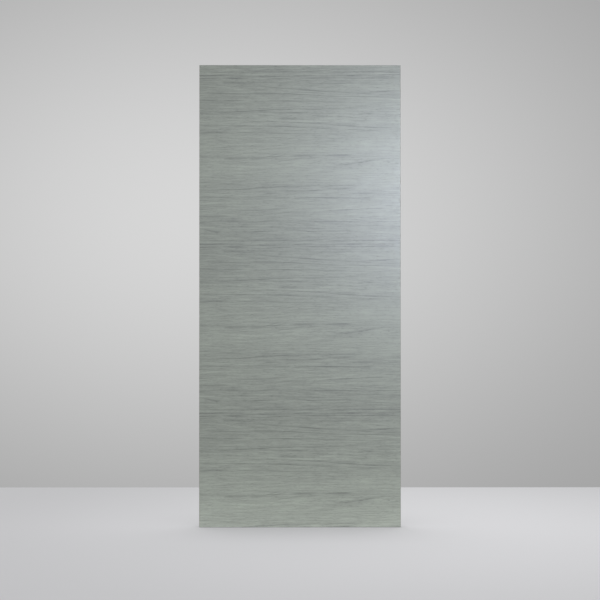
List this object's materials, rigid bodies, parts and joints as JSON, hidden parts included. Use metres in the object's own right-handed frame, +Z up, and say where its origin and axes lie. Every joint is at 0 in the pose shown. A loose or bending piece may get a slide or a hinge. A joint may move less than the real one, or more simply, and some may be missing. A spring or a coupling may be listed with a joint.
{
  "type": "flush door leaf",
  "caption": "Solid-core flush door leaf faced and edged in wood-grain laminate, blank and ready to be hung on hinges and fitted with a lock.",
  "frame": {"origin": "on the hinge edge, at the foot of the leaf and midway through its thickness", "axes": "+X across the leaf from the hinge edge to the lock edge, +Y through its thickness from the front face to the back face, +Z up"},
  "size_m": [0.915, 0.04, 2.1],
  "materials": {
    "laminate": "satin",
    "plywood": "sawn",
    "timber": "sawn",
    "core_board": "sanded"
  },
  "bodies": {
    "root": {"hinge_stile": "timber", "lock_stile": "timber", "top_rail": "timber", "bottom_rail": "timber", "hinge_side_block": "timber", "lock_side_block": "timber", "lower_core": "core_board", "middle_core": "core_board", "upper_core": "core_board", "front_ply": "plywood", "back_ply": "plywood", "hinge_edge_strip": "laminate", "lock_edge_strip": "laminate", "front_laminate": "laminate", "back_laminate": "laminate"}
  },
  "joints": []
}
